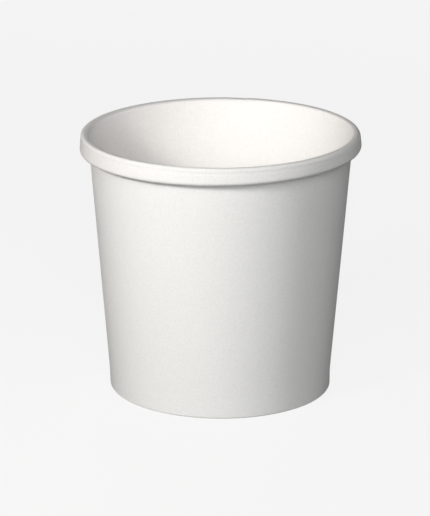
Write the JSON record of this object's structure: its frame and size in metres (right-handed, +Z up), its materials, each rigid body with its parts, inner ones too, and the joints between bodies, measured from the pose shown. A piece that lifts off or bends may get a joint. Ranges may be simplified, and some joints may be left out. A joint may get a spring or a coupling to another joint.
{
  "type": "paper sundae cup",
  "caption": "Tapered white paperboard sundae cup with a rolled rim, a lapped side seam and a recessed base, for ice cream and other cold food.",
  "frame": {"origin": "centre of the foot ring, on the surface that the cup stands on", "axes": "+Z up along the cup's axis, from the foot to the mouth; -Y towards the picture's camera; the side seam is at the back, 11.8 degrees from +Y towards +X"},
  "size_m": [0.09, 0.09, 0.0843],
  "materials": {
    "wall_board": "smooth white coated paperboard, semi-matt",
    "base_board": "smooth white coated paperboard, semi-matt"
  },
  "bodies": {
    "root": {"side_wall": "wall_board", "base_disc": "base_board"}
  },
  "joints": []
}
